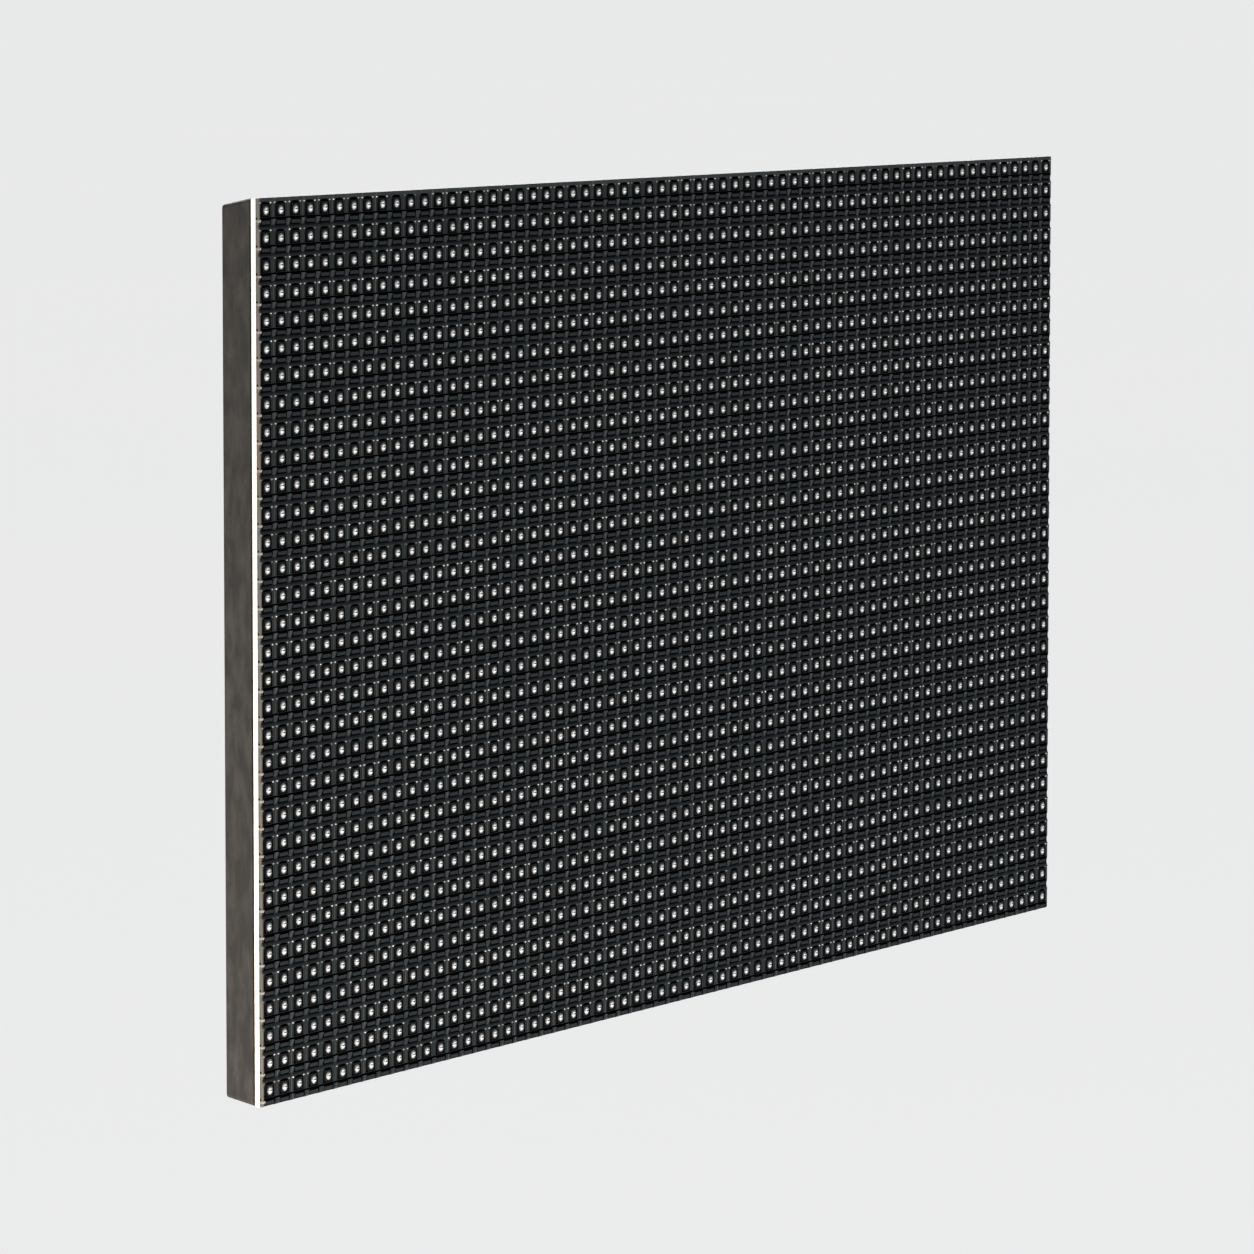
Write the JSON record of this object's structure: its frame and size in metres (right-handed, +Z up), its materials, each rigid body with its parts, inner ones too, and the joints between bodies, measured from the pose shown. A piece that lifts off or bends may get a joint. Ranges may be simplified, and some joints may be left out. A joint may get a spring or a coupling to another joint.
{
  "type": "rgb led matrix panel",
  "caption": "Flat indoor RGB LED matrix module: louvred black front mask over a grid of LED packages, a circuit board with drive chips and headers, and a ribbed open rear frame.",
  "frame": {"origin": "the centre of the whole module, from the face of the mask to the points of the locating pins", "axes": "+X along the rows of pixels, to the right seen from the front; +Z up the columns; the lit face looks along -Y and the fixing bosses face +Y"},
  "size_m": [0.32, 0.0132, 0.165],
  "materials": {
    "mask": "fine satin moulded black polycarbonate",
    "board": "black solder mask with a pale sawn laminate edge and silvery LED packages",
    "frame": "faintly mottled warm grey-black glass-filled plastic",
    "screw": "bright zinc plate",
    "insert": "machined brass",
    "chip": "matt moulded epoxy with tinned leads",
    "black_header": "satin moulded nylon with gold-plated pins",
    "white_header": "satin moulded nylon with tinned pins",
    "capacitor": "drawn aluminium can on a black moulded base"
  },
  "bodies": {
    "root": {"louvre_mask": "mask", "led_board": "board", "rear_frame": "frame", "mask_screw_1": "screw", "mask_screw_2": "screw", "mask_screw_3": "screw", "mask_screw_4": "screw", "mask_screw_5": "screw", "mask_screw_6": "screw", "mask_screw_7": "screw", "mask_screw_8": "screw", "threaded_insert_1": "insert", "threaded_insert_2": "insert", "threaded_insert_3": "insert", "threaded_insert_4": "insert", "threaded_insert_5": "insert", "threaded_insert_6": "insert", "driver_chip_1": "chip", "driver_chip_2": "chip", "driver_chip_3": "chip", "driver_chip_4": "chip", "driver_chip_5": "chip", "driver_chip_6": "chip", "driver_chip_7": "chip", "driver_chip_8": "chip", "driver_chip_9": "chip", "driver_chip_10": "chip", "driver_chip_11": "chip", "driver_chip_12": "chip", "driver_chip_13": "chip", "driver_chip_14": "chip", "driver_chip_15": "chip", "driver_chip_16": "chip", "driver_chip_17": "chip", "driver_chip_18": "chip", "driver_chip_19": "chip", "driver_chip_20": "chip", "driver_chip_21": "chip", "driver_chip_22": "chip", "driver_chip_23": "chip", "driver_chip_24": "chip", "row_switch_chip_1": "chip", "row_switch_chip_2": "chip", "row_switch_chip_3": "chip", "row_switch_chip_4": "chip", "row_switch_chip_5": "chip", "row_switch_chip_6": "chip", "buffer_chip_1": "chip", "buffer_chip_2": "chip", "row_decoder_chip_1": "chip", "data_in_header": "black_header", "data_out_header": "black_header", "power_header": "white_header", "capacitor_1": "capacitor", "capacitor_2": "capacitor", "capacitor_3": "capacitor", "capacitor_4": "capacitor"}
  },
  "joints": []
}
